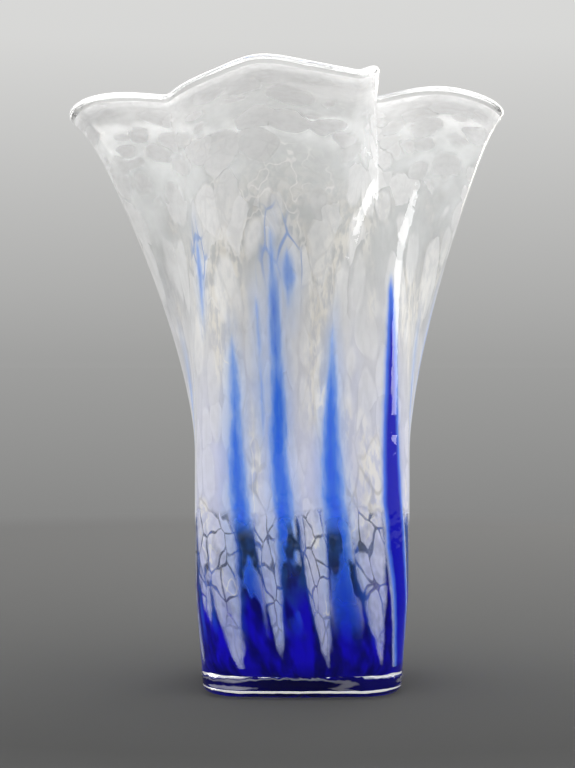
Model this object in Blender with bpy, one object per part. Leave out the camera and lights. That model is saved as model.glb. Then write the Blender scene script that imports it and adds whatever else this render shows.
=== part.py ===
"""Blown glass handkerchief vase: a square body on a thick foot, opening into four lobes with four folds between.

Metres, +Z up. The origin is at the middle of the foot's underside, and the front face looks along -Y.
The whole vase is one wall of glass. It is made of columns of points, one for each direction from the axis, that run
from the underside out over the foot, up the outside, over the lip, down the inside and in across the floor.
"""

import math
from collections import namedtuple

import bmesh
import bpy
from mathutils import Vector

# Foot and square body, and the height of the rim before its crests and folds
RIM_HEIGHT = 0.2525
FOOT_WIDTH = 0.0876
BODY_WIDTH = 0.0932
SWELL_HEIGHT = 0.048
CORNER_RADIUS = 0.016
FACE_BOW = 0.0022
FOOT_EDGE_RADIUS = 0.0045

# Thickness of the glass
FLOOR_THICKNESS = 0.0080
FLOOR_DISH = 0.0010
FLOOR_FILLET = 0.0065
WALL_AT_FOOT = 0.0062
WALL_AT_SHOULDER = 0.0042
WALL_AT_RIM = 0.0030
LIP_BEAD = 0.0008
LIP_BEAD_REACH = 0.006

# The flare: where the square body starts to open, and how its lobes and folds curve outwards to the rim
FLARE_START = 0.100
LOBE_POWER = 1.50
FOLD_POWER = 3.0
FLICK_POWER = 20

# The folded rim, as seen from above: angles run from the front face (-Y) towards +X, reaches are from the axis.
# A lobe's crest lifts or lowers its middle, point narrows the crest, tilt lifts the lobe's anticlockwise side, and
# flick turns its lip outwards. A fold's before and after are how much of the clockwise and the anticlockwise half
# lobe its drop takes up, and curl lifts the lip on its clockwise side.
Lobe = namedtuple("Lobe", "angle reach crest point tilt flick")
Fold = namedtuple("Fold", "angle reach drop before after pinch curl")
FRONT_LOBE = Lobe(angle=-11, reach=0.0850, crest=0.0042, point=6.0, tilt=0.0, flick=0.0020)
RIGHT_LOBE = Lobe(angle=93, reach=0.0875, crest=-0.0068, point=2.4, tilt=0.0012, flick=0.0026)
BACK_LOBE = Lobe(angle=176, reach=0.0850, crest=0.0020, point=2.0, tilt=-0.0010, flick=0.0020)
LEFT_LOBE = Lobe(angle=-96, reach=0.1012, crest=-0.0088, point=1.6, tilt=0.0014, flick=0.0048)
FRONT_RIGHT_FOLD = Fold(angle=37, reach=0.050, drop=0.0050, before=0.30, after=0.50, pinch=12, curl=0.0045)
BACK_RIGHT_FOLD = Fold(angle=138, reach=0.055, drop=0.0065, before=0.60, after=0.60, pinch=9, curl=0.0)
BACK_LEFT_FOLD = Fold(angle=-137, reach=0.060, drop=0.0065, before=0.60, after=0.50, pinch=9, curl=0.0)
FRONT_LEFT_FOLD = Fold(angle=-50, reach=0.074, drop=0.0063, before=1.00, after=0.90, pinch=3, curl=0.0)
LOBE_BREADTH = 0.70
CURL_BREADTH = 0.50

# How finely the glass is divided
COLUMNS = 96
CORNER_CROWDING = 0.45
BODY_RINGS = 6
FLARE_RINGS = 15
EDGE_RINGS = 4
LIP_RINGS = 5

GLASS_COLOUR = (0.80, 0.85, 0.95, 0.35)
GLASS_ROUGHNESS = 0.03
GLASS_IOR = 1.5


def clear_scene():
    for old in list(bpy.data.objects):
        bpy.data.objects.remove(old)


def ease(share):
    """0 to 1 with a level start and end."""
    share = min(max(share, 0.0), 1.0)
    return share * share * (3 - 2 * share)


def turn_between(start, end):
    """Degrees from start to end, by the short way."""
    return (end - start + 180) % 360 - 180


def neighbours(degrees):
    """The lobe and the fold that a direction lies between."""
    lobes = (FRONT_LOBE, RIGHT_LOBE, BACK_LOBE, LEFT_LOBE)
    folds = (FRONT_RIGHT_FOLD, BACK_RIGHT_FOLD, BACK_LEFT_FOLD, FRONT_LEFT_FOLD)
    for lobe in lobes:
        for fold in folds:
            whole = turn_between(fold.angle, lobe.angle)
            part = turn_between(fold.angle, degrees)
            if abs(whole) < 90 and part * whole >= 0 and abs(part) <= abs(whole):
                return lobe, fold, part / whole, math.copysign(1, whole)
    raise ValueError(f"no lobe and fold lie either side of {degrees} degrees")


def rim(degrees):
    """How lobed a direction is, from 0 in a fold to 1 in a lobe's middle, and its rim: reach, drop, pinch, flick."""
    lobe, fold, share, side = neighbours(degrees)
    swell = (1 - math.cos(math.pi * share**LOBE_BREADTH)) / 2
    reach = fold.reach + (lobe.reach - fold.reach) * swell
    shoulder = fold.before if side < 0 else fold.after
    drop = fold.drop * (1 - ease(share / shoulder))
    drop -= lobe.crest * ease(share) ** lobe.point - side * lobe.tilt * math.sin(math.pi * share)
    if side < 0 and share < CURL_BREADTH:
        drop -= fold.curl * math.sin(math.pi * share / CURL_BREADTH)
    pinch = -side * math.radians(fold.pinch) * math.sin(math.pi * share) * (1 - share)
    return swell, reach, drop, pinch, lobe.flick * swell


def square_reach(angle, width):
    """Distance from the axis to the side of a square with rounded corners and slightly bowed faces."""
    half = width / 2 - FACE_BOW
    straight = half - CORNER_RADIUS
    along = max(abs(math.cos(angle)), abs(math.sin(angle)))
    across = min(abs(math.cos(angle)), abs(math.sin(angle)))
    reach = half / along
    if reach * across > straight:
        inside = CORNER_RADIUS**2 - (straight * (along - across)) ** 2
        reach = straight * (along + across) + math.sqrt(inside)
    return reach + FACE_BOW * math.cos(2 * angle) ** 2


def outer_wall(angle, level):
    """A point on the outside. level is its height before the rim drops, from 0 to RIM_HEIGHT."""
    width = FOOT_WIDTH + (BODY_WIDTH - FOOT_WIDTH) * ease(level / SWELL_HEIGHT)
    reach = square_reach(angle, width)
    height = level
    if level > FLARE_START:
        rise = (level - FLARE_START) / (RIM_HEIGHT - FLARE_START)
        swell, rim_reach, drop, pinch, flick = rim(math.degrees(angle))
        opening = rise ** (FOLD_POWER + (LOBE_POWER - FOLD_POWER) * swell)
        reach += (rim_reach - flick - reach) * opening + flick * rise**FLICK_POWER
        angle += pinch * opening
        height -= drop * rise
    return Vector((reach * math.sin(angle), -reach * math.cos(angle), height))


def outward(angle, level):
    """The outside's normal and its upward direction at a point."""
    small_turn = 0.002
    small_rise = 0.0002
    low = min(level, RIM_HEIGHT - small_rise)
    around = outer_wall(angle + small_turn, level) - outer_wall(angle - small_turn, level)
    upward = (outer_wall(angle, low + small_rise) - outer_wall(angle, low)).normalized()
    return around.cross(upward).normalized(), upward


def wall_thickness(level):
    if level < FLARE_START:
        wall = WALL_AT_FOOT + (WALL_AT_SHOULDER - WALL_AT_FOOT) * ease(level / FLARE_START)
    else:
        rise = (level - FLARE_START) / (RIM_HEIGHT - FLARE_START)
        wall = WALL_AT_SHOULDER + (WALL_AT_RIM - WALL_AT_SHOULDER) * rise
    return wall + LIP_BEAD * math.exp(-(((RIM_HEIGHT - level) / LIP_BEAD_REACH) ** 2))


def shrunk(point, inset, height):
    """A point moved in towards the axis and set at a height."""
    reach = math.hypot(point.x, point.y)
    scale = (reach - inset) / reach
    return Vector((point.x * scale, point.y * scale, height))


def levels():
    """Heights of the rings up the wall, above the foot's rounded edge and the inner floor's fillet."""
    body = [FOOT_EDGE_RADIUS + (FLARE_START - FOOT_EDGE_RADIUS) * i / BODY_RINGS for i in range(BODY_RINGS)]
    flare = [FLARE_START + (RIM_HEIGHT - FLARE_START) * i / FLARE_RINGS for i in range(FLARE_RINGS + 1)]
    return body, flare


def meridian(angle):
    """Every point of one column, from the underside to the inner floor, without the two poles."""
    body, flare = levels()
    foot = outer_wall(angle, FOOT_EDGE_RADIUS)
    points = []
    for i in range(EDGE_RINGS):
        turn = math.pi / 2 * i / EDGE_RINGS
        inset = FOOT_EDGE_RADIUS * (1 - math.sin(turn))
        points.append(shrunk(foot, inset, FOOT_EDGE_RADIUS * (1 - math.cos(turn))))
    points += [outer_wall(angle, level) for level in body + flare]

    normal, upward = outward(angle, RIM_HEIGHT)
    lip = wall_thickness(RIM_HEIGHT) / 2
    middle = points[-1] - normal * lip
    for i in range(1, LIP_RINGS):
        turn = math.pi * i / LIP_RINGS
        points.append(middle + (normal * math.cos(turn) + upward * math.sin(turn)) * lip)

    floor_edge = FLOOR_THICKNESS + FLOOR_DISH + FLOOR_FILLET
    inner_levels = [level for level in body + flare if level > floor_edge] + [floor_edge]
    for level in sorted(inner_levels, reverse=True):
        normal, _ = outward(angle, level)
        points.append(outer_wall(angle, level) - normal * wall_thickness(level))
    foot_of_wall = points[-1]
    for i in range(1, EDGE_RINGS + 1):
        turn = math.pi / 2 * i / EDGE_RINGS
        inset = FLOOR_FILLET * (1 - math.cos(turn))
        points.append(shrunk(foot_of_wall, inset, floor_edge - FLOOR_FILLET * math.sin(turn)))
    edge = points[-1]
    for share in (2 / 3, 1 / 3):
        inset = math.hypot(edge.x, edge.y) * (1 - share)
        points.append(shrunk(edge, inset, FLOOR_THICKNESS + FLOOR_DISH * share**2))
    return points


def column_angles():
    """Directions of the columns, crowded towards the corners and folds."""
    for i in range(COLUMNS):
        even = 2 * math.pi * i / COLUMNS
        yield even + CORNER_CROWDING * math.sin(4 * even) / 4


def glass():
    material = bpy.data.materials.new("clear_glass")
    material.use_nodes = True
    shader = material.node_tree.nodes["Principled BSDF"]
    shader.inputs["Base Color"].default_value = GLASS_COLOUR
    shader.inputs["Roughness"].default_value = GLASS_ROUGHNESS
    shader.inputs["Metallic"].default_value = 0.0
    shader.inputs["Transmission Weight"].default_value = 1.0
    shader.inputs["IOR"].default_value = GLASS_IOR
    return material


def vase():
    mesh = bmesh.new()
    columns = [[mesh.verts.new(point) for point in meridian(angle)] for angle in column_angles()]
    under = mesh.verts.new((0, 0, 0))
    floor = mesh.verts.new((0, 0, FLOOR_THICKNESS))
    for i, column in enumerate(columns):
        beside = columns[(i + 1) % COLUMNS]
        mesh.faces.new((under, column[0], beside[0]))
        for low in range(len(column) - 1):
            mesh.faces.new((column[low], column[low + 1], beside[low + 1], beside[low]))
        mesh.faces.new((floor, beside[-1], column[-1]))
    bmesh.ops.recalc_face_normals(mesh, faces=mesh.faces)
    data = bpy.data.meshes.new("vase")
    mesh.to_mesh(data)
    mesh.free()
    data.shade_smooth()
    data.materials.append(glass())
    part = bpy.data.objects.new("vase", data)
    bpy.context.scene.collection.objects.link(part)
    return part


clear_scene()
vase()
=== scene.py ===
"""The looks of a handkerchief vase: clear rippled glass, with white frit and cobalt colour in its wall."""

import math
from collections import namedtuple
from types import SimpleNamespace

import bpy
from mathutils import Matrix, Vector, noise


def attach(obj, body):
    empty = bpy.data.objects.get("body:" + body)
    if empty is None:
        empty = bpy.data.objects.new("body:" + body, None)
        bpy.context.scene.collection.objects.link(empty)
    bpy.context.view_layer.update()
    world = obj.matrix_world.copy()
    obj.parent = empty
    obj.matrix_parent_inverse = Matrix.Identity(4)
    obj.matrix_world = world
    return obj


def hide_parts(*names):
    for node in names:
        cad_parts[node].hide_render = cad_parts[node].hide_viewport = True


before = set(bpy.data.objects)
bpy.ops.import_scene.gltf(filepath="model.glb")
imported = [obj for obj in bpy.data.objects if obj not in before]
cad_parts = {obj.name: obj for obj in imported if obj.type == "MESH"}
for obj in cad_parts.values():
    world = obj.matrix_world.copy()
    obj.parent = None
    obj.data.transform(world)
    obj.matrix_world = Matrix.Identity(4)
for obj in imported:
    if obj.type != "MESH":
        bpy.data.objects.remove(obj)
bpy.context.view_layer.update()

# The glass has the form of the CAD node, from the same sizes in metres, but is divided much more finely
RIM_HEIGHT = 0.2525
FOOT_WIDTH = 0.0876
BODY_WIDTH = 0.0932
SWELL_HEIGHT = 0.048
CORNER_RADIUS = 0.016
FACE_BOW = 0.0022
FOOT_EDGE_RADIUS = 0.0045
FLOOR_THICKNESS = 0.0080
FLOOR_DISH = 0.0010
FLOOR_FILLET = 0.0065
WALL_AT_FOOT = 0.0062
WALL_AT_SHOULDER = 0.0042
WALL_AT_RIM = 0.0030
LIP_BEAD = 0.0008
LIP_BEAD_REACH = 0.006
FLARE_START = 0.100
LOBE_POWER = 1.50
FOLD_POWER = 3.0
FLICK_POWER = 20
LOBE_BREADTH = 0.70
CURL_BREADTH = 0.50
# Angles run from the front face (-Y) towards +X, and reaches are from the axis. A lobe's crest lifts its
# middle, point narrows the crest, tilt lifts its anticlockwise side, and flick turns its lip outwards. A
# fold's before and after are how much of the clockwise and the anticlockwise half lobe its drop takes up, and
# curl lifts the lip on its clockwise side.
Lobe = namedtuple("Lobe", "angle reach crest point tilt flick")
Fold = namedtuple("Fold", "angle reach drop before after pinch curl")
LOBES = (
    Lobe(angle=-11, reach=0.0850, crest=0.0042, point=6.0, tilt=0.0, flick=0.0020),
    Lobe(angle=93, reach=0.0875, crest=-0.0068, point=2.4, tilt=0.0012, flick=0.0026),
    Lobe(angle=176, reach=0.0850, crest=0.0020, point=2.0, tilt=-0.0010, flick=0.0020),
    Lobe(angle=-96, reach=0.1012, crest=-0.0088, point=1.6, tilt=0.0014, flick=0.0048),
)
FOLDS = (
    Fold(angle=37, reach=0.050, drop=0.0050, before=0.30, after=0.50, pinch=12, curl=0.0045),
    Fold(angle=138, reach=0.055, drop=0.0065, before=0.60, after=0.60, pinch=9, curl=0.0),
    Fold(angle=-137, reach=0.060, drop=0.0065, before=0.60, after=0.50, pinch=9, curl=0.0),
    Fold(angle=-50, reach=0.074, drop=0.0063, before=1.00, after=0.90, pinch=3, curl=0.0),
)
GLASS_IOR = 1.5

# How finely the pieces are divided
COLUMNS = 320
CORNER_CROWDING = 0.45
FOOT_EDGE_RINGS = 8
OUTER_RINGS = 104
LIP_RINGS = 10
INNER_RINGS = 92
FLOOR_RINGS = 8
UNDERSIDE_RINGS = 40
LAYER_COLUMNS = 256
FRIT_RINGS = 96
POOL_RINGS = 36
FILM_RINGS = 12
FLOOR_SHARES = (0.8, 0.6, 0.4, 0.2)

# Ripples that the tools and the heat leave in blown glass, and how near the lip they fade out, in metres
Ripple = namedtuple("Ripple", "depth breadth seed")
OUTER_RIPPLE = Ripple(depth=0.00016, breadth=0.016, seed=3.0)
INNER_RIPPLE = Ripple(depth=0.00035, breadth=0.011, seed=9.0)
RIPPLE_FADE = 0.008

# The layer of milky frit: its place in the wall, as a share from the outside, and the levels that it spans
FRIT_OUTSIDE = 0.28
FRIT_INSIDE = 0.36
FRIT_BOTTOM = 0.0120
FRIT_TOP = 0.2512

# The pool of cobalt glass that lines the foot: its place in the wall, its reach and its bowl-shaped underside
POOL_OUTSIDE = 0.88
POOL_INSIDE = 0.97
POOL_TOP = 0.0800
POOL_BOTTOM = 0.0066
POOL_DISH = 0.0008
POOL_EDGE_RADIUS = 0.0088
POOL_FLOOR_COVER = 0.0005

# A film just inside the underside, whose blue is a painted reflection of the cobalt pool above. Its white
# ring is a painted highlight on the pontil's edge; highlights are also painted outside
# CORNER_HIGHLIGHT_RADIUS
FILM_INSET = 0.0036
FILM_BOTTOM = 0.0010
FILM_THICKNESS = 0.0005
RING_RADIUS = 0.0254
RING_WIDTH = 0.0064
RING_RAGGEDNESS = 0.0070
CORNER_HIGHLIGHT_RADIUS = 0.0370
CORNER_HIGHLIGHT_EDGE = 0.0020
CORNER_HIGHLIGHT_RAGGEDNESS = 0.0150

# The ground and polished ring under the foot, where the rod was broken off
PONTIL_RADIUS = 0.0262
PONTIL_DEPTH = 0.00045
PONTIL_EDGE = 0.0016
PONTIL_PLACE = (-0.0065, 0.0)

# The colour twists a little as it nears the foot: degrees of turn at the foot, and the level where it starts
TWIST = 14
TWIST_LEVEL = 0.105
TWIST_POWER = 1.5

# Radius of the straightened cylinder on which the colours are laid out, and how its height is drawn out:
# flecks are long streaks in the body, and flat ovals where the rim was flared
PATTERN_RADIUS = 0.046
FOOT_DRAW = 0.42
FOOT_DRAW_END = 0.085
BODY_DRAW = 0.24
RIM_DRAW = 2.2
RIM_DRAW_START = 0.140
RIM_DRAW_POWER = 4.0

# A streak is widest at wide_level and comes to a point at tip_level. A free one comes to a second point at
# end_level.
Streak = namedtuple("Streak", "turn half_width wide_level tip_level end_level", defaults=(None,))
# Streaks of blue that rise out of the foot, by degrees from the front
BLUE_STREAKS = (
    Streak(-31.5, 0.0042, 0.070, 0.150),
    Streak(-19.5, 0.0013, 0.128, 0.162, 0.108),
    Streak(-11.8, 0.0049, 0.070, 0.190),
    Streak(-5.5, 0.0026, 0.172, 0.183, 0.158),
    Streak(-46.5, 0.0016, 0.182, 0.194, 0.160),
    Streak(14.3, 0.0055, 0.070, 0.153),
    Streak(70, 0.0042, 0.070, 0.150),
    Streak(87, 0.0050, 0.070, 0.174),
    Streak(108, 0.0044, 0.070, 0.142),
    Streak(152, 0.0044, 0.070, 0.166),
    Streak(172, 0.0050, 0.070, 0.148),
    Streak(-165, 0.0042, 0.070, 0.176),
    Streak(-119, 0.0044, 0.070, 0.150),
    Streak(-99, 0.0050, 0.070, 0.170),
    Streak(-77, 0.0042, 0.070, 0.145),
)
# Streaks of clear cobalt, mostly along the corners
NAVY_STREAKS = (
    Streak(42.0, 0.0044, 0.080, 0.174),
    Streak(131, 0.0044, 0.080, 0.152),
    Streak(-136, 0.0044, 0.080, 0.166),
)
# White tongues that reach down into the cobalt, so here the tip is the low end
WHITE_TONGUES = (
    Streak(-53.0, 0.0034, 0.075, 0.034),
    Streak(-42.5, 0.0052, 0.060, 0.015),
    Streak(-21.0, 0.0040, 0.075, 0.023),
    Streak(2.6, 0.0045, 0.070, 0.017),
    Streak(28.0, 0.0050, 0.070, 0.021),
    Streak(60, 0.0044, 0.075, 0.024),
    Streak(79, 0.0052, 0.070, 0.016),
    Streak(98, 0.0048, 0.075, 0.021),
    Streak(120, 0.0055, 0.070, 0.017),
    Streak(142, 0.0044, 0.075, 0.022),
    Streak(162, 0.0054, 0.070, 0.015),
    Streak(-175, 0.0046, 0.075, 0.020),
    Streak(-152, 0.0052, 0.070, 0.018),
    Streak(-128, 0.0046, 0.075, 0.022),
    Streak(-109, 0.0054, 0.070, 0.016),
    Streak(-88, 0.0048, 0.075, 0.020),
    Streak(-66, 0.0044, 0.070, 0.018),
)
STREAK_TAPER = 0.6
TIP_STRETCH = 4
FARTHEST_OUTSIDE = -0.010
METRES_TO_MILLIMETRES = 1000

# Grains of the frit: the smallest and the faintest one, as a share of the largest and the whitest
FLECK_WOBBLE = 0.006
SMALLEST_FLECK = 0.45
FAINTEST_FLECK = 0.6
LARGE_FLECKS = {"Scale": 112.0, "Size": 0.80, "Softness": 0.12, "Gap": 0.06}
SMALL_FLECKS = {"Scale": 172.0, "Size": 0.76, "Softness": 0.12, "Gap": 0.09}

# Colours in linear light. Stops and tones run from the low end of a ramp to its high end. Those of the veil
# and the milk run up the vase, and their last stops make a dense white band along the lip: a painted
# highlight.
COBALT_TONES = (
    (0.0, (1.0, 1.0, 1.0, 1)),
    (0.25, (0.52, 0.70, 1.0, 1)),
    (0.50, (0.14, 0.30, 0.98, 1)),
    (0.75, (0.018, 0.045, 0.94, 1)),
    (1.0, (0.0015, 0.0008, 0.80, 1)),
)
VEIL_AND_RIM_HIGHLIGHT_STOPS = ((0.60, 0.88), (0.76, 0.74), (0.86, 0.56), (0.94, 0.46), (0.965, 0.42), (0.98, 0.90))
MILK_AND_RIM_HIGHLIGHT_TONES = (
    (0.10, (0.48, 0.54, 0.90, 1)),
    (0.28, (0.72, 0.74, 0.91, 1)),
    (0.44, (0.76, 0.77, 0.86, 1)),
    (0.58, (0.77, 0.77, 0.79, 1)),
    (0.74, (0.66, 0.67, 0.67, 1)),
    (0.92, (0.72, 0.73, 0.73, 1)),
    (0.965, (0.85, 0.85, 0.85, 1)),
    (0.98, (0.98, 0.98, 0.98, 1)),
)
# Cream for painted warm reflections, white for the flecks, and white for painted glints
WARM_REFLECTION_CREAM = (0.95, 0.92, 0.86, 1)
FLECK_WHITE = (0.98, 0.98, 0.98, 1)
GLINT_WHITE = (0.98, 0.97, 0.95, 1)
HALO_BLUE = (0.52, 0.66, 0.97, 1)
CRACK_BLUE = (0.20, 0.36, 0.75, 1)
# From the edge of a streak to its middle
BLUE_TONES = (
    (0.05, (0.60, 0.72, 0.95, 1)),
    (0.35, (0.27, 0.46, 0.92, 1)),
    (0.70, (0.065, 0.24, 0.88, 1)),
    (1.0, (0.03, 0.16, 0.90, 1)),
)
NAVY_TONES = ((0.05, (0.55, 0.70, 0.98, 1)), (0.40, (0.10, 0.26, 0.92, 1)), (0.75, (0.001, 0.001, 0.55, 1)))
MISTY_BLUE = (0.62, 0.70, 0.86, 1)
FOOT_BLUE = (0.006, 0.035, 0.60, 1)
POOL_BLUES = ((0.001, 0.0002, 0.22, 1), (0.008, 0.001, 0.72, 1))
# Dark navy painted over the top of the pool, where the dark floor would show through thin glass: painted
# shade
POOL_PAINTED_DARKS = ((0.012, 0.030, 0.065, 1), (0.015, 0.065, 0.24, 1))
GLOW_BLUE = (0.025, 0.15, 0.72, 1)
# The foot's film: blue painted as a reflection of the cobalt pool above, and white for its painted highlights
MIRRORED_COBALT_BLUE = (0.004, 0.0005, 0.32, 1)
RING_HIGHLIGHT_WHITE = (0.96, 0.96, 0.96, 1)

# The studio, with its greys as display values from 0 to 255. The glass sees a pale tent all round, brighter
# by TENT_CROWN overhead, and a dark table as far as TABLE_RADIUS. The floor keeps FLOOR_SHADE of its tone, to
# come out right under the daylight and the lamps.
FLOOR_SIZE = 60
FLOOR_GAP = 0.0005
TABLE_RADIUS = 0.90
TABLE_EDGE = 0.15
TENT_GREY = 208
TENT_CROWN = 1.55
TABLE_GREY = 72
GREY_WARMTH = 0.985
DAYLIGHT = 1.20
FLOOR_SHADE = 0.65
AIM_HEIGHT = 0.14

# Camera, from the photograph's framing
CAMERA_DISTANCE = 0.80
CAMERA_HEIGHT = 0.140
METRES_PER_PIXEL = 0.0004355
IMAGE_WIDTH = 575
IMAGE_HEIGHT = 768
AXIS_PIXEL = 302.2
FOOT_PIXEL = 697.5

# The floor's tone: the nearest floor that shows, from the camera, and how far out it is even beside the vase
NEAREST_FLOOR = CAMERA_DISTANCE / 1.4
LEVEL_TONE_REACH = 0.3

# Sockets of shader node groups
NUMBER = "NodeSocketFloat"
VECTOR = "NodeSocketVector"


def ease(share):
    """0 to 1 with a level start and end."""
    share = min(max(share, 0.0), 1.0)
    return share * share * (3 - 2 * share)


def turn_between(start, end):
    """Degrees from start to end, by the short way."""
    return (end - start + 180) % 360 - 180


def neighbours(degrees):
    """The lobe and the fold that a direction lies between."""
    for lobe in LOBES:
        for fold in FOLDS:
            whole = turn_between(fold.angle, lobe.angle)
            part = turn_between(fold.angle, degrees)
            if abs(whole) < 90 and part * whole >= 0 and abs(part) <= abs(whole):
                return lobe, fold, part / whole, math.copysign(1, whole)
    raise ValueError(f"no lobe and fold lie either side of {degrees} degrees")


def rim(degrees):
    """How lobed a direction is, and its rim: reach, drop, pinch and flick.

    How lobed it is runs from 0 in a fold to 1 in a lobe's middle.
    """
    lobe, fold, share, side = neighbours(degrees)
    swell = (1 - math.cos(math.pi * share**LOBE_BREADTH)) / 2
    reach = fold.reach + (lobe.reach - fold.reach) * swell
    shoulder = fold.before if side < 0 else fold.after
    drop = fold.drop * (1 - ease(share / shoulder))
    drop -= lobe.crest * ease(share) ** lobe.point - side * lobe.tilt * math.sin(math.pi * share)
    if side < 0 and share < CURL_BREADTH:
        drop -= fold.curl * math.sin(math.pi * share / CURL_BREADTH)
    pinch = -side * math.radians(fold.pinch) * math.sin(math.pi * share) * (1 - share)
    return swell, reach, drop, pinch, lobe.flick * swell


def square_reach(angle, width):
    """Distance from the axis to the side of a square with rounded corners and slightly bowed faces."""
    half = width / 2 - FACE_BOW
    straight = half - CORNER_RADIUS
    along = max(abs(math.cos(angle)), abs(math.sin(angle)))
    across = min(abs(math.cos(angle)), abs(math.sin(angle)))
    reach = half / along
    if reach * across > straight:
        inside = CORNER_RADIUS**2 - (straight * (along - across)) ** 2
        reach = straight * (along + across) + math.sqrt(inside)
    return reach + FACE_BOW * math.cos(2 * angle) ** 2


def outer_wall(angle, level):
    """A point on the outside. level is its height before the rim drops, from 0 to RIM_HEIGHT."""
    width = FOOT_WIDTH + (BODY_WIDTH - FOOT_WIDTH) * ease(level / SWELL_HEIGHT)
    reach = square_reach(angle, width)
    height = level
    if level > FLARE_START:
        rise = (level - FLARE_START) / (RIM_HEIGHT - FLARE_START)
        swell, rim_reach, drop, pinch, flick = rim(math.degrees(angle))
        opening = rise ** (FOLD_POWER + (LOBE_POWER - FOLD_POWER) * swell)
        reach += (rim_reach - flick - reach) * opening + flick * rise**FLICK_POWER
        angle += pinch * opening
        height -= drop * rise
    return Vector((reach * math.sin(angle), -reach * math.cos(angle), height))


def outward(angle, level):
    """The outside's normal and its upward direction at a point."""
    small_turn = 0.002
    small_rise = 0.0002
    low = min(level, RIM_HEIGHT - small_rise)
    around = outer_wall(angle + small_turn, level) - outer_wall(angle - small_turn, level)
    upward = (outer_wall(angle, low + small_rise) - outer_wall(angle, low)).normalized()
    return around.cross(upward).normalized(), upward


def wall_thickness(level):
    if level < FLARE_START:
        wall = WALL_AT_FOOT + (WALL_AT_SHOULDER - WALL_AT_FOOT) * ease(level / FLARE_START)
    else:
        rise = (level - FLARE_START) / (RIM_HEIGHT - FLARE_START)
        wall = WALL_AT_SHOULDER + (WALL_AT_RIM - WALL_AT_SHOULDER) * rise
    return wall + LIP_BEAD * math.exp(-(((RIM_HEIGHT - level) / LIP_BEAD_REACH) ** 2))


def shrunk(point, inset, height):
    """A point moved in towards the axis and set at a height."""
    reach = math.hypot(point.x, point.y)
    scale = (reach - inset) / reach
    return Vector((point.x * scale, point.y * scale, height))


def steps(start, end, count):
    """count values from start up to, but without, end."""
    return [start + (end - start) * i / count for i in range(count)]


def pressed(point, ripple):
    """How far a rippled surface lies under the smooth form at a point: never less than nothing."""
    place = point / ripple.breadth + Vector((ripple.seed, 0, 0))
    return ripple.depth * (0.5 + 0.5 * noise.noise(place))


def within(angle, level, share, ripple=None):
    """A point in the wall, share of the way from the outside to the inside, pressed in by a ripple."""
    normal, _ = outward(angle, level)
    point = outer_wall(angle, level)
    inset = wall_thickness(level) * share
    if ripple:
        fade = ease((RIM_HEIGHT - level) / RIPPLE_FADE)
        inset += pressed(point, ripple) * fade * (1 if share < 0.5 else -1)
    return point - normal * inset


def under_foot(foot, share):
    """A point on the underside, which is ground to a shallow hollow inside a ring."""
    point = shrunk(foot, math.hypot(foot.x, foot.y) * (1 - share), 0)
    out = math.hypot(point.x - PONTIL_PLACE[0], point.y - PONTIL_PLACE[1])
    point.z = PONTIL_DEPTH * ease((PONTIL_RADIUS - out) / PONTIL_EDGE)
    return point


def floor_of(foot_of_wall, fillet, dish, lowest):
    """Points round a fillet at the foot of a wall and in across a dished floor, to its middle."""
    points = []
    for i in range(1, FLOOR_RINGS + 1):
        turn = math.pi / 2 * i / FLOOR_RINGS
        height = foot_of_wall.z - fillet * math.sin(turn)
        points.append(shrunk(foot_of_wall, fillet * (1 - math.cos(turn)), height))
    edge = points[-1]
    for share in FLOOR_SHARES:
        inset = math.hypot(edge.x, edge.y) * (1 - share)
        points.append(shrunk(edge, inset, edge.z - dish * (1 - share**2)))
    points.append(Vector((0, 0, lowest)))
    return points


def glass_column(angle):
    """The glass in one direction, from the middle of the underside to the middle of the cavity's floor.

    Gives the points, the level of each, and 1 for each that lies inside the vase.
    """
    foot = outer_wall(angle, FOOT_EDGE_RADIUS)
    edge = shrunk(foot, FOOT_EDGE_RADIUS, 0)
    shares = [i / UNDERSIDE_RINGS for i in range(UNDERSIDE_RINGS)]
    points = [Vector((0, 0, PONTIL_DEPTH))] + [under_foot(edge, share) for share in shares[1:]]
    for i in range(FOOT_EDGE_RINGS):
        turn = math.pi / 2 * i / FOOT_EDGE_RINGS
        inset = FOOT_EDGE_RADIUS * (1 - math.sin(turn))
        points.append(shrunk(foot, inset, FOOT_EDGE_RADIUS * (1 - math.cos(turn))))
    levels = [point.z for point in points]
    for level in steps(FOOT_EDGE_RADIUS, RIM_HEIGHT, OUTER_RINGS) + [RIM_HEIGHT]:
        points.append(within(angle, level, 0, OUTER_RIPPLE))
        levels.append(level)
    normal, upward = outward(angle, RIM_HEIGHT)
    lip = wall_thickness(RIM_HEIGHT) / 2
    middle = outer_wall(angle, RIM_HEIGHT) - normal * lip
    for i in range(1, LIP_RINGS):
        turn = math.pi * i / LIP_RINGS
        points.append(middle + (normal * math.cos(turn) + upward * math.sin(turn)) * lip)
        levels.append(RIM_HEIGHT)
    outside = len(points)
    floor_edge = FLOOR_THICKNESS + FLOOR_DISH + FLOOR_FILLET
    for level in steps(RIM_HEIGHT, floor_edge, INNER_RINGS) + [floor_edge]:
        points.append(within(angle, level, 1, INNER_RIPPLE))
        levels.append(level)
    floor = floor_of(points[-1], FLOOR_FILLET, FLOOR_DISH, FLOOR_THICKNESS)
    points += floor
    levels += [point.z for point in floor]
    return points, levels, [0.0] * outside + [1.0] * (len(points) - outside)


def frit_loop(angle):
    """The frit's layer in one direction: up its outer side, over its top edge and down its inner side."""
    levels = steps(FRIT_BOTTOM, FRIT_TOP, FRIT_RINGS) + [FRIT_TOP]
    outer = [within(angle, level, FRIT_OUTSIDE) for level in levels]
    inner = [within(angle, level, FRIT_INSIDE) for level in reversed(levels)]
    levels = levels + levels[::-1]
    return outer + inner, levels, [0.0] * len(levels)


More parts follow.
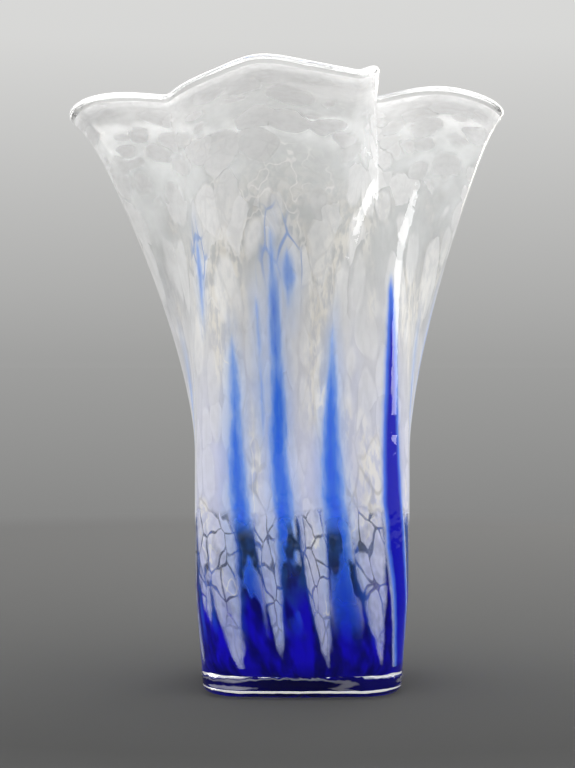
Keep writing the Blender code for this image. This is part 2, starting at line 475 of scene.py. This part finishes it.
def pool_column(angle):
    """The cobalt pool in one direction: from the middle of its underside, up the wall, down to its floor."""
    wall_foot = POOL_BOTTOM + POOL_DISH + POOL_EDGE_RADIUS
    foot = within(angle, wall_foot, POOL_OUTSIDE)
    points = floor_of(foot, POOL_EDGE_RADIUS, POOL_DISH, POOL_BOTTOM)[::-1]
    levels = [point.z for point in points]
    rise = steps(wall_foot, POOL_TOP, POOL_RINGS)
    outer = [within(angle, level, POOL_OUTSIDE) for level in rise]
    middle = within(angle, POOL_TOP, (POOL_OUTSIDE + POOL_INSIDE) / 2)
    floor_edge = FLOOR_THICKNESS + FLOOR_DISH + FLOOR_FILLET
    fall = steps(floor_edge, POOL_TOP, POOL_RINGS)[::-1]
    inner = [within(angle, level, POOL_INSIDE) for level in fall]
    inner[-1].z -= POOL_FLOOR_COVER
    floor = floor_of(inner[-1], FLOOR_FILLET, FLOOR_DISH, FLOOR_THICKNESS - POOL_FLOOR_COVER)
    points += outer + [middle] + inner + floor
    levels += rise + [POOL_TOP] + fall + [point.z for point in floor]
    return points, levels, [0.0] * len(points)


def film_column(angle):
    """The film of painted reflection in one direction, from the middle of its underside out and back over its
    top.
    """
    edge = shrunk(outer_wall(angle, FOOT_EDGE_RADIUS), FILM_INSET, FILM_BOTTOM)
    shares = steps(0, 1, FILM_RINGS)
    points = [Vector((edge.x * share, edge.y * share, FILM_BOTTOM)) for share in shares]
    top = FILM_BOTTOM + FILM_THICKNESS
    points += [Vector((edge.x * share, edge.y * share, top)) for share in reversed(shares)]
    return points, [point.z for point in points], [0.0] * len(points)


def drawn_out(level):
    """Height on the straightened cylinder of a level on the wall."""
    span = RIM_HEIGHT - RIM_DRAW_START
    rise = max(level - RIM_DRAW_START, 0) / span
    foot = FOOT_DRAW * min(level, FOOT_DRAW_END) + BODY_DRAW * max(level - FOOT_DRAW_END, 0)
    return foot + RIM_DRAW * span / (RIM_DRAW_POWER + 1) * rise ** (RIM_DRAW_POWER + 1)


def depth_in(streak, turn, level):
    """How far a place on the wall lies inside a streak's edge: less than nothing outside it."""
    across = math.radians(abs(turn_between(streak.turn, turn))) * PATTERN_RADIUS
    end = streak.tip_level
    along = (end - level) / (end - streak.wide_level)
    if along > 1 and streak.end_level is not None:
        end = streak.end_level
        along = (end - level) / (end - streak.wide_level)
    if along <= 0:
        return -math.hypot(across, (level - end) / TIP_STRETCH)
    return streak.half_width * min(along, 1) ** STREAK_TAPER - across


def deepest(streaks, turn, level):
    """How deep a place lies in the nearest of some streaks, in millimetres."""
    near = max(depth_in(streak, turn, level) for streak in streaks)
    return max(near, FARTHEST_OUTSIDE) * METRES_TO_MILLIMETRES


def crowded(even):
    """The direction of a column: columns crowd towards the corners and folds."""
    return even + CORNER_CROWDING * math.sin(4 * even) / 4


def blow(name, columns, column, hollow=False):
    """A ball, or for a hollow sleeve a ring, whose points are drawn out into the columns of a vase.

    Each point keeps what its colour needs: its place on the straightened cylinder, its level, how deep it
    lies in the streaks, and whether it is inside the vase.
    """
    count = len(column(0.0)[0])
    bpy.ops.object.select_all(action="DESELECT")
    if hollow:
        sides = {"major_segments": columns, "minor_segments": count}
        bpy.ops.mesh.primitive_torus_add(major_radius=1, minor_radius=0.5, **sides)
    else:
        bpy.ops.mesh.primitive_uv_sphere_add(segments=columns, ring_count=count - 1, radius=1)
    piece = bpy.context.object
    piece.name = name
    mesh = piece.data
    mesh.name = name
    made = {}
    fields = {"level": [], "inside": [], "blue": [], "navy": [], "tongue": []}
    pattern = []
    for vertex in mesh.vertices:
        x, y, z = vertex.co
        out = math.hypot(x, y)
        even = math.atan2(x, -y) if out > 1e-6 else 0.0
        key = round(even / (2 * math.pi) * columns) % columns
        angle = crowded(key / columns * 2 * math.pi)
        if key not in made:
            made[key] = column(angle)
        if hollow:
            ring = round(math.atan2(z, out - 1) / (2 * math.pi) * count) % count
        else:
            ring = round(math.acos(min(max(-z, -1), 1)) / math.pi * (count - 1))
        points, levels, inside = made[key]
        vertex.co = points[ring]
        level = levels[ring]
        twist = TWIST * max(1 - level / TWIST_LEVEL, 0) ** TWIST_POWER
        turn = math.degrees(angle) - twist
        straight = math.radians(turn)
        pattern += [PATTERN_RADIUS * math.sin(straight), -PATTERN_RADIUS * math.cos(straight)]
        pattern.append(drawn_out(level))
        fields["level"].append(level)
        fields["inside"].append(inside[ring])
        fields["blue"].append(deepest(BLUE_STREAKS, turn, level))
        fields["navy"].append(deepest(NAVY_STREAKS, turn, level))
        fields["tongue"].append(deepest(WHITE_TONGUES, turn, level))
    mesh.attributes.new("pattern", "FLOAT_VECTOR", "POINT").data.foreach_set("vector", pattern)
    for label, values in fields.items():
        mesh.attributes.new(label, "FLOAT", "POINT").data.foreach_set("value", values)
    bpy.ops.object.mode_set(mode="EDIT")
    bpy.ops.mesh.select_all(action="SELECT")
    bpy.ops.mesh.normals_make_consistent(inside=False)
    bpy.ops.object.mode_set(mode="OBJECT")
    bpy.ops.object.shade_smooth()
    return piece


class Nodes:
    """Adds nodes to a tree and links their inputs, which are given as values or as other nodes' outputs."""

    def __init__(self, tree):
        self.tree = tree

    def add(self, kind, inputs=None, **settings):
        node = self.tree.nodes.new(kind)
        for name, value in settings.items():
            setattr(node, name, value)
        for key, value in (inputs or {}).items():
            if isinstance(value, bpy.types.NodeSocket):
                self.tree.links.new(value, node.inputs[key])
            else:
                node.inputs[key].default_value = value
        return node

    def link(self, value, socket):
        self.tree.links.new(value, socket)

    def math(self, operation, first, second=0.0, third=0.0, clamp=False):
        inputs = {0: first, 1: second, 2: third}
        return self.add("ShaderNodeMath", inputs, operation=operation, use_clamp=clamp).outputs[0]

    def vector(self, operation, first, second):
        return self.add("ShaderNodeVectorMath", {0: first, 1: second}, operation=operation).outputs[0]

    def scaled(self, vector, scale):
        return self.add("ShaderNodeVectorMath", {0: vector, "Scale": scale}, operation="SCALE").outputs[0]

    def length(self, vector):
        return self.add("ShaderNodeVectorMath", {0: vector}, operation="LENGTH").outputs["Value"]

    def span(self, value, low, high, to_low=0.0, to_high=1.0, smooth=True):
        """Runs from to_low to to_high as a value goes from low to high, and stays level outside."""
        inputs = {"Value": value, "From Min": low, "From Max": high, "To Min": to_low, "To Max": to_high}
        kind = "SMOOTHSTEP" if smooth else "LINEAR"
        return self.add("ShaderNodeMapRange", inputs, interpolation_type=kind).outputs[0]

    def attribute(self, name, output="Fac"):
        return self.add("ShaderNodeAttribute", attribute_name=name).outputs[output]

    def mix(self, share, first, second):
        node = self.add("ShaderNodeMix", data_type="RGBA")
        for socket, value in ((node.inputs[0], share), (node.inputs[6], first), (node.inputs[7], second)):
            if isinstance(value, bpy.types.NodeSocket):
                self.tree.links.new(value, socket)
            else:
                socket.default_value = value
        return node.outputs[2]

    def noise(self, vector, scale, detail=2.0, roughness=0.5):
        inputs = {"Vector": vector, "Scale": scale, "Detail": detail, "Roughness": roughness}
        return self.add("ShaderNodeTexNoise", inputs).outputs["Fac"]

    def sway(self, vector, scale, detail=2.0, roughness=0.5):
        """Noise that sways either side of nothing."""
        return self.math("SUBTRACT", self.noise(vector, scale, detail, roughness), 0.5)

    def ramp(self, share, stops):
        """Colours or greys along a share: a bare number stands for a grey."""
        node = self.add("ShaderNodeValToRGB", {"Fac": share})
        elements = node.color_ramp.elements
        while len(elements) > 1:
            elements.remove(elements[-1])
        for i, (position, colour) in enumerate(stops):
            element = elements[0] if i == 0 else elements.new(position)
            element.position = position
            element.color = (colour, colour, colour, 1) if isinstance(colour, float) else colour
        return node.outputs["Color"]


def new_group(name, inputs, outputs):
    """A shader node group with named number or vector inputs and number outputs."""
    group = bpy.data.node_groups.new(name, "ShaderNodeTree")
    for label, kind in inputs:
        group.interface.new_socket(name=label, in_out="INPUT", socket_type=kind)
    for label in outputs:
        group.interface.new_socket(name=label, in_out="OUTPUT", socket_type=NUMBER)
    made = Nodes(group)
    return made, made.add("NodeGroupInput").outputs, made.add("NodeGroupOutput").inputs


def fleck_group():
    """Melted grains of white glass: ovals of many sizes, and the dark lines of the cells that they lie in."""
    made, given, result = new_group(
        "white_flecks",
        (("Pattern", VECTOR), ("Scale", NUMBER), ("Size", NUMBER), ("Softness", NUMBER), ("Gap", NUMBER)),
        ("Mask", "Crackle"),
    )
    pattern = given["Pattern"]
    wobble = made.add("ShaderNodeTexNoise", {"Vector": pattern, "Scale": 110.0, "Detail": 2.0})
    centred = made.vector("SUBTRACT", wobble.outputs["Color"], (0.5, 0.5, 0.5))
    moved = made.vector("ADD", pattern, made.scaled(centred, FLECK_WOBBLE))
    cells = {"Vector": moved, "Scale": given["Scale"], "Randomness": 1.0}
    grain = made.add("ShaderNodeTexVoronoi", cells, feature="F1").outputs
    tone = made.add("ShaderNodeSeparateColor", {"Color": grain["Color"]}).outputs
    size = made.span(tone["Red"], 0.0, 1.0, SMALLEST_FLECK, 1.0, smooth=False)
    reach = made.math("MULTIPLY", given["Size"], size)
    core = made.math("SUBTRACT", reach, given["Softness"])
    body = made.span(grain["Distance"], core, reach, 1.0, 0.0)
    strength = made.math("MULTIPLY_ADD", tone["Green"], 1 - FAINTEST_FLECK, FAINTEST_FLECK)
    made.link(made.math("MULTIPLY", body, strength), result["Mask"])
    edge = made.add("ShaderNodeTexVoronoi", cells, feature="DISTANCE_TO_EDGE").outputs["Distance"]
    edge = made.math("MULTIPLY_ADD", made.sway(pattern, 260.0), given["Gap"], edge)
    made.link(made.span(edge, 0.0, given["Gap"]), result["Crackle"])
    return made.tree


def streak_edge_group():
    """A streak's depth, in millimetres, made ragged at its edge as melted colour is."""
    made, given, result = new_group(
        "ragged_streak",
        (("Pattern", VECTOR), ("Depth", NUMBER), ("Raggedness", NUMBER)),
        ("Depth",),
    )
    drift = made.sway(given["Pattern"], 170.0, 3.0, 0.6)
    made.link(made.math("MULTIPLY_ADD", drift, given["Raggedness"], given["Depth"]), result["Depth"])
    return made.tree


def new_material(name):
    material = bpy.data.materials.new(name)
    material.use_nodes = True
    return material, Nodes(material.node_tree), material.node_tree.nodes["Principled BSDF"]


def make_matt(shader, roughness):
    """No gloss: the floor is matt, and so is colour that lies inside the glass."""
    shader.inputs["Roughness"].default_value = roughness
    shader.inputs["Specular IOR Level"].default_value = 0.0


def ragged(made, group, field, raggedness):
    """How deep in millimetres a place lies in this piece's streaks of one kind, with ragged edges."""
    node = made.add("ShaderNodeGroup", node_tree=group)
    made.link(made.attribute("pattern", "Vector"), node.inputs["Pattern"])
    made.link(made.attribute(field), node.inputs["Depth"])
    node.inputs["Raggedness"].default_value = raggedness
    return node.outputs["Depth"]


def clear_glass(edges):
    """Clear glass whose inner surface is flashed with cobalt streaks."""
    material, made, shader = new_material("clear_glass")
    blue = made.span(ragged(made, edges, "blue", 3.0), -1.0, 2.2, 0.0, 0.42)
    navy = made.span(ragged(made, edges, "navy", 1.5), -1.2, 2.4, 0.0, 0.86)
    density = made.math("MULTIPLY", made.math("MAXIMUM", blue, navy), made.attribute("inside"))
    made.link(made.ramp(density, COBALT_TONES), shader.inputs["Base Color"])
    shader.inputs["Roughness"].default_value = 0.0
    shader.inputs["IOR"].default_value = GLASS_IOR
    shader.inputs["Transmission Weight"].default_value = 1.0
    position = made.add("ShaderNodeTexCoord").outputs["Object"]
    coarse = made.noise(position, 75.0, 2.0)
    fine = made.noise(position, 260.0, 1.0)
    height = made.math("MULTIPLY_ADD", fine, 0.26, coarse)
    bump = made.add("ShaderNodeBump", {"Strength": 0.55, "Distance": 0.0006, "Height": height})
    made.link(bump.outputs[0], shader.inputs["Normal"])
    return material


def cobalt_glass(edges):
    """The cobalt pool: deep blue in the foot, thinning upwards to painted dark navy that ends in a ragged
    edge.
    """
    material, made, shader = new_material("cobalt_glass")
    pattern = made.attribute("pattern", "Vector")
    level = made.attribute("level")
    drift = made.sway(pattern, 95.0, 3.0)
    cloud = made.noise(pattern, 190.0, 2.0)
    # Painted shade: dark navy above the deep blue, where the dark floor would show through thin glass
    painted_dark_share = made.span(made.math("MULTIPLY_ADD", drift, 0.050, level), 0.038, 0.056)
    deep = made.mix(made.span(cloud, 0.35, 0.65), *POOL_BLUES)
    painted_dark = made.mix(made.span(cloud, 0.38, 0.62), *POOL_PAINTED_DARKS)
    colour = made.mix(painted_dark_share, deep, painted_dark)
    # A brighter blue shows through along the white tongues
    tongue_depth = ragged(made, edges, "tongue", 3.0)
    nearby = made.span(tongue_depth, -3.0, 0.0)
    beside = made.math("MULTIPLY", nearby, made.span(tongue_depth, 0.4, 1.6, 1.0, 0.0))
    glow = made.math("MULTIPLY", beside, made.span(level, 0.018, 0.034, 0.0, 0.65))
    made.link(made.mix(glow, colour, GLOW_BLUE), shader.inputs["Base Color"])
    top = made.span(made.math("MULTIPLY_ADD", drift, 0.014, level), 0.0735, 0.0780, 1.0, 0.0)
    thin = made.span(level, 0.040, 0.060, 1.0, 0.72)
    made.link(made.math("MULTIPLY", top, thin), shader.inputs["Alpha"])
    make_matt(shader, 0.5)
    return material


def frit_fields(made, edges, flecks):
    """What both the cover and the colour of the frit go by."""
    pattern = made.attribute("pattern", "Vector")
    level = made.attribute("level")
    grains = []
    for values in (SMALL_FLECKS, LARGE_FLECKS):
        node = made.add("ShaderNodeGroup", node_tree=flecks)
        made.link(pattern, node.inputs["Pattern"])
        for label, value in values.items():
            node.inputs[label].default_value = value
        grains.append(node.outputs)
    small, large = grains
    blue_depth = ragged(made, edges, "blue", 3.0)
    navy_depth = ragged(made, edges, "navy", 2.0)
    return SimpleNamespace(
        pattern=pattern,
        level=level,
        height=made.math("DIVIDE", level, RIM_HEIGHT),
        grains=made.mix(made.span(level, 0.130, 0.180), small["Mask"], large["Mask"]),
        crackle=small["Crackle"],
        cloud=made.noise(pattern, 60.0, 3.0),
        threads=made.noise(pattern, 520.0, 3.0, 0.6),
        tongue=made.span(ragged(made, edges, "tongue", 4.0), -1.7, 0.9),
        low=made.span(level, 0.074, 0.088, 1.0, 0.0),
        blue_depth=blue_depth,
        blue=made.span(blue_depth, -1.0, 1.0),
        navy_depth=navy_depth,
        navy=made.span(navy_depth, -1.6, 0.6),
    )


def frit_cover(made, frit):
    """How dense the frit is: 0 where it is clear and 1 where it is opaque."""
    drift = made.noise(frit.pattern, 130.0, 2.0)
    ragged_level = made.math("MULTIPLY_ADD", drift, 0.012, made.math("SUBTRACT", frit.level, 0.006))

    # The milk: nearly opaque over the body, thinner towards the rim, and ragged where it ends over the cobalt
    # The veil's last stops make a dense band along the lip: a painted highlight
    veil = made.ramp(frit.height, VEIL_AND_RIM_HIGHLIGHT_STOPS)
    veil = made.math("MULTIPLY", veil, made.span(frit.cloud, 0.30, 0.60, 0.72, 1.0))
    grains = made.math("MULTIPLY", frit.grains, 0.92)
    milk = made.math("MULTIPLY_ADD", made.math("SUBTRACT", 1.0, veil), grains, veil)
    milk = made.math("MULTIPLY", milk, made.span(ragged_level, 0.0745, 0.0790))

    # The tongues: the same frit in cells, thin and cracked where it runs down over the cobalt
    clots = made.span(made.noise(frit.pattern, 210.0, 2.0), 0.30, 0.55, 0.45, 1.0)
    cells = made.span(frit.crackle, 0.05, 0.75, 0.10, 1.0)
    lined = made.math("MAXIMUM", cells, made.span(frit.level, 0.024, 0.044, 0.85, 0.0))
    cracked = made.math("MULTIPLY", frit.tongue, made.math("MULTIPLY", clots, lined))
    tongues = made.math("MULTIPLY", made.math("MULTIPLY", cracked, frit.low), 0.95)

    # The streaks: the blue ones thin out into patches as they near the foot
    patches = made.span(made.noise(frit.pattern, 120.0, 2.0), 0.44, 0.56)
    patches = made.math("MAXIMUM", patches, made.span(frit.level, 0.066, 0.084))
    blue = made.math("MULTIPLY", frit.blue, made.span(ragged_level, 0.022, 0.056, 0.0, 0.93))
    blue = made.math("MULTIPLY", blue, patches)
    navy = made.math("MULTIPLY", frit.navy, 0.95)

    cover = made.math("MAXIMUM", made.math("MAXIMUM", milk, blue), tongues)
    return made.math("MAXIMUM", cover, navy, clamp=True)


def milk_colour(made, frit):
    """The milk: white flecks, a halo by the blue, fine lines, blue cracks, and painted warm reflections and
    glints.
    """
    # The milk's last stops whiten a band along the lip: a painted highlight
    colour = made.ramp(frit.height, MILK_AND_RIM_HIGHLIGHT_TONES)
    # Painted warm reflections: cream clouds through the body, fading out towards the rim and the foot
    painted_warm_reflection = made.math("MULTIPLY", made.span(frit.cloud, 0.47, 0.60), made.span(frit.threads, 0.40, 0.58))
    painted_warm_reflection = made.math("MULTIPLY", painted_warm_reflection, made.span(frit.level, 0.170, 0.230, 0.95, 0.0))
    painted_warm_reflection = made.math("MULTIPLY", painted_warm_reflection, made.span(frit.level, 0.060, 0.085, 0.15, 1.0))
    colour = made.mix(painted_warm_reflection, colour, WARM_REFLECTION_CREAM)
    pale = made.math("MULTIPLY", frit.grains, made.span(frit.level, 0.090, 0.200, 0.20, 0.95))
    colour = made.mix(pale, colour, FLECK_WHITE)
    halo = made.span(frit.level, 0.110, 0.190, 0.50, 0.20)
    halo = made.math("MULTIPLY", made.span(frit.blue_depth, -4.5, -0.3), halo)
    colour = made.mix(halo, colour, HALO_BLUE)
    # Painted glints: thin white curls where ripples would catch the light
    painted_glints = made.span(made.math("ABSOLUTE", made.sway(frit.pattern, 150.0)), 0.004, 0.020, 0.9, 0.0)
    painted_glints = made.math("MULTIPLY", painted_glints, made.span(frit.cloud, 0.52, 0.60))
    colour = made.mix(painted_glints, colour, GLINT_WHITE)
    lines = made.span(frit.threads, 0.32, 0.60, 0.09, 0.0)
    cracks = made.span(frit.crackle, 0.0, 1.0, 1.0, 0.0)
    cracks = made.math("MULTIPLY", cracks, made.span(frit.cloud, 0.42, 0.56))
    cracks = made.math("MULTIPLY", cracks, made.span(frit.level, 0.085, 0.110, 0.25, 0.10))
    colour = made.scaled(colour, made.math("SUBTRACT", 1.0, made.math("MAXIMUM", lines, cracks)))
    beside_blue = made.span(frit.blue_depth, -4.4, -1.4)
    inky = made.math("MULTIPLY", made.span(frit.crackle, 0.0, 0.8, 0.75, 0.0), beside_blue)
    inky = made.math("MULTIPLY", inky, made.span(frit.level, 0.165, 0.180))
    inky = made.math("MULTIPLY", inky, made.span(frit.level, 0.194, 0.204, 1.0, 0.0))
    return made.mix(inky, colour, CRACK_BLUE)


def frit_colour(made, frit):
    """The milk with the streaks over it: the blue ones misty at the top and deeper near the foot."""
    depth = made.math("MULTIPLY_ADD", frit.blue_depth, 0.21, 0.12)
    veins = made.math("MULTIPLY", made.math("SUBTRACT", frit.threads, 0.5), 0.6)
    blue = made.ramp(made.math("ADD", depth, veins), BLUE_TONES)
    blue = made.mix(made.span(frit.level, 0.120, 0.185, 0.0, 0.30), blue, MISTY_BLUE)
    blue = made.mix(made.span(frit.level, 0.030, 0.075, 0.75, 0.0), blue, FOOT_BLUE)
    navy = made.ramp(made.math("MULTIPLY_ADD", frit.navy_depth, 0.25, 0.30), NAVY_TONES)
    off_tongue = made.math("SUBTRACT", 1.0, made.math("MULTIPLY", frit.tongue, frit.low))
    streaks = made.math("MULTIPLY", frit.blue, off_tongue)
    colour = made.mix(streaks, milk_colour(made, frit), blue)
    return made.mix(frit.navy, colour, navy)


def milky_frit(edges, flecks):
    """White glass frit melted to a milky veil, with soft flecks, cracks between them, and streaks of blue."""
    material, made, shader = new_material("milky_frit")
    frit = frit_fields(made, edges, flecks)
    made.link(frit_cover(made, frit), shader.inputs["Alpha"])
    made.link(frit_colour(made, frit), shader.inputs["Base Color"])
    make_matt(shader, 0.6)
    return material


def painted_foot_reflection():
    """Painted reflection of the cobalt, with highlights painted in a broken ring and out towards the corners.
    """
    material, made, shader = new_material("painted_foot_reflection")
    position = made.add("ShaderNodeTexCoord").outputs["Object"]
    cloud = made.sway(position, 240.0, 3.0, 0.6)
    # The ring: a painted highlight on the edge of the pontil's hollow
    off_pontil = made.length(made.vector("SUBTRACT", position, (*PONTIL_PLACE, FILM_BOTTOM)))
    off_ring = made.math("ABSOLUTE", made.math("SUBTRACT", off_pontil, RING_RADIUS))
    off_ring = made.math("MULTIPLY_ADD", cloud, RING_RAGGEDNESS, off_ring)
    ring = made.span(off_ring, 0.3 * RING_WIDTH, 0.8 * RING_WIDTH, 1.0, 0.0)
    # Painted highlights out towards the corners of the foot
    out = made.math("MULTIPLY_ADD", cloud, CORNER_HIGHLIGHT_RAGGEDNESS, made.length(position))
    corner_highlight = made.span(out, CORNER_HIGHLIGHT_RADIUS, CORNER_HIGHLIGHT_RADIUS + CORNER_HIGHLIGHT_EDGE)
    white = made.math("MAXIMUM", ring, corner_highlight)
    # Blue painted as a reflection of the cobalt above, under the painted highlights
    made.link(made.mix(white, MIRRORED_COBALT_BLUE, RING_HIGHLIGHT_WHITE), shader.inputs["Base Color"])
    make_matt(shader, 0.5)
    return material


def dress(piece, material, node=None, casts_shadow=False):
    """Gives a piece its looks and its body. Only cobalt casts a shadow: glass and milk let the light pass."""
    piece.data.materials.clear()
    piece.data.materials.append(material)
    piece.visible_shadow = casts_shadow
    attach(piece, "root")
    if node:
        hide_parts(node)


def make_vase():
    edges = streak_edge_group()
    flecks = fleck_group()
    dress(blow("glass_wall", COLUMNS, glass_column), clear_glass(edges), "vase")
    dress(blow("frit_layer", LAYER_COLUMNS, frit_loop, hollow=True), milky_frit(edges, flecks))
    dress(blow("cobalt_pool", LAYER_COLUMNS, pool_column), cobalt_glass(edges), casts_shadow=True)
    # The film under the foot is a painted reflection of the cobalt, with painted highlights
    dress(blow("painted_reflection_film", LAYER_COLUMNS, film_column), painted_foot_reflection(), casts_shadow=True)


def grey(value):
    """A grey given as a display value from 0 to 255, in linear light and a little warm."""
    share = value / 255
    linear = ((share + 0.055) / 1.055) ** 2.4 if share > 0.04045 else share / 12.92
    return (linear, linear, linear * GREY_WARMTH, 1)


def make_floor():
    """A plain floor that pales behind the vase, as the photograph's does.

    Through the glass it looks dark near the vase, and past TABLE_RADIUS it is as pale as the tent.
    """
    bpy.ops.object.select_all(action="DESELECT")
    bpy.ops.mesh.primitive_plane_add(size=FLOOR_SIZE, location=(0, 0, -FLOOR_GAP))
    floor = bpy.context.object
    floor.name = "floor"
    material, made, shader = new_material("floor_paint")
    position = made.add("ShaderNodeNewGeometry").outputs["Position"]
    place = made.add("ShaderNodeSeparateXYZ", {"Vector": position})
    flat = made.length(position)
    depth = made.math("MAXIMUM", place.outputs["Y"], made.math("SUBTRACT", flat, LEVEL_TONE_REACH))
    # How far down a floor point lies as the photograph's camera sees it, as a share of the way from the
    # horizon to the image's foot
    near = made.math("DIVIDE", NEAREST_FLOOR, made.math("ADD", depth, CAMERA_DISTANCE))
    # Painted light and shade: the floor is painted darker near the camera and paler behind the vase
    tone = made.ramp(
        near,
        (
            (0.0, grey(160)),
            (0.10, grey(153)),
            (0.33, grey(137)),
            (0.53, grey(123)),
            (0.76, grey(104)),
            (1.0, grey(84)),
        ),
    )
    path = made.add("ShaderNodeLightPath").outputs
    lit = made.scaled(tone, FLOOR_SHADE)
    table = made.mix(path["Is Transmission Ray"], lit, grey(TABLE_GREY))
    made.link(table, shader.inputs["Base Color"])
    make_matt(shader, 0.9)
    # Painted light: past TABLE_RADIUS the floor glows, with its tone to the camera and the tent's grey to the
    # glass
    seen = made.mix(path["Is Camera Ray"], grey(TENT_GREY), tone)
    far = made.add("ShaderNodeEmission", {"Color": seen})
    share = made.span(flat, TABLE_RADIUS - TABLE_EDGE, TABLE_RADIUS)
    mixed = made.add("ShaderNodeMixShader", {0: share, 1: shader.outputs[0], 2: far.outputs[0]})
    made.link(mixed.outputs[0], material.node_tree.nodes["Material Output"].inputs["Surface"])
    floor.data.materials.append(material)


def make_world():
    """Soft even light, a backdrop that pales upwards and, for the glass, a tent that is bright overhead."""
    world = bpy.data.worlds.new("studio")
    world.use_nodes = True
    bpy.context.scene.world = world
    made = Nodes(world.node_tree)
    shader = world.node_tree.nodes["Background"]
    output = world.node_tree.nodes["World Output"]
    direction = made.add("ShaderNodeTexCoord").outputs["Generated"]
    rise = made.add("ShaderNodeSeparateXYZ", {"Vector": direction}).outputs["Z"]
    backdrop = made.ramp(
        rise,
        (
            (0.0, grey(160)),
            (0.034, grey(173)),
            (0.082, grey(188)),
            (0.138, grey(205)),
            (0.171, grey(215)),
            (0.5, grey(235)),
            (1.0, grey(245)),
        ),
    )
    tent = made.ramp(rise, ((0.0, grey(TENT_GREY)), (0.4, grey(228)), (1.0, grey(240))))
    tent = made.scaled(tent, made.span(rise, 0.25, 0.60, 1.0, 1 + TENT_CROWN))
    path = made.add("ShaderNodeLightPath").outputs
    made.link(made.mix(path["Is Camera Ray"], tent, backdrop), shader.inputs["Color"])
    shader.inputs["Strength"].default_value = 1.0
    light = made.add("ShaderNodeBackground", {"Color": (1, 1, 1, 1), "Strength": DAYLIGHT})
    seen = made.math("MAXIMUM", path["Is Camera Ray"], path["Is Glossy Ray"])
    seen = made.math("MAXIMUM", seen, path["Is Transmission Ray"])
    mixed = made.add("ShaderNodeMixShader", {0: seen, 1: light.outputs[0], 2: shader.outputs[0]})
    made.link(mixed.outputs[0], output.inputs["Surface"])


def soft_box(name, place, size, power, colour=(1, 1, 1), highlights_only=False):
    """A lamp that faces the vase. One for highlights only shines in the glass, and lights nothing matt."""
    bpy.ops.object.light_add(type="AREA", location=place)
    lamp = bpy.context.object
    lamp.name = name
    lamp.data.shape = "RECTANGLE"
    lamp.data.size, lamp.data.size_y = size
    lamp.data.energy = power
    lamp.data.color = colour
    lamp.visible_diffuse = not highlights_only
    aim = Vector((0, 0, AIM_HEIGHT)) - lamp.location
    lamp.rotation_euler = aim.to_track_quat("-Z", "Y").to_euler()
    return lamp


def make_lights():
    soft_box("left_window", (-0.95, -0.60, 0.60), (0.30, 0.8), 6.0, highlights_only=True)
    soft_box("right_window", (1.05, -0.24, 0.46), (0.36, 0.8), 6.0, highlights_only=True)
    soft_box("back_strip", (0.55, 0.95, 0.60), (0.30, 0.9), 2.2, (1.0, 0.95, 0.86))
    soft_box("top_soft_box", (0.0, -0.25, 1.4), (0.9, 0.9), 5.0)


def make_camera():
    """The photograph's view: level, from in front, with the frame shifted to where the vase stands in it."""
    bpy.ops.object.camera_add(location=(0, -CAMERA_DISTANCE, CAMERA_HEIGHT), rotation=(math.pi / 2, 0, 0))
    camera = bpy.context.object
    camera.name = "camera"
    focal = CAMERA_DISTANCE / METRES_PER_PIXEL
    lens = camera.data
    lens.sensor_fit = "HORIZONTAL"
    lens.sensor_width = 36
    lens.lens = focal * lens.sensor_width / IMAGE_WIDTH
    foot_drop = focal * CAMERA_HEIGHT / (CAMERA_DISTANCE - FOOT_WIDTH / 2 + FOOT_EDGE_RADIUS)
    horizon_pixel = FOOT_PIXEL - foot_drop
    lens.shift_x = (IMAGE_WIDTH / 2 - AXIS_PIXEL) / IMAGE_WIDTH
    lens.shift_y = (horizon_pixel - IMAGE_HEIGHT / 2) / IMAGE_WIDTH
    bpy.context.scene.camera = camera


make_vase()
make_floor()
make_world()
make_lights()
make_camera()
bpy.context.scene.view_settings.view_transform = "Standard"
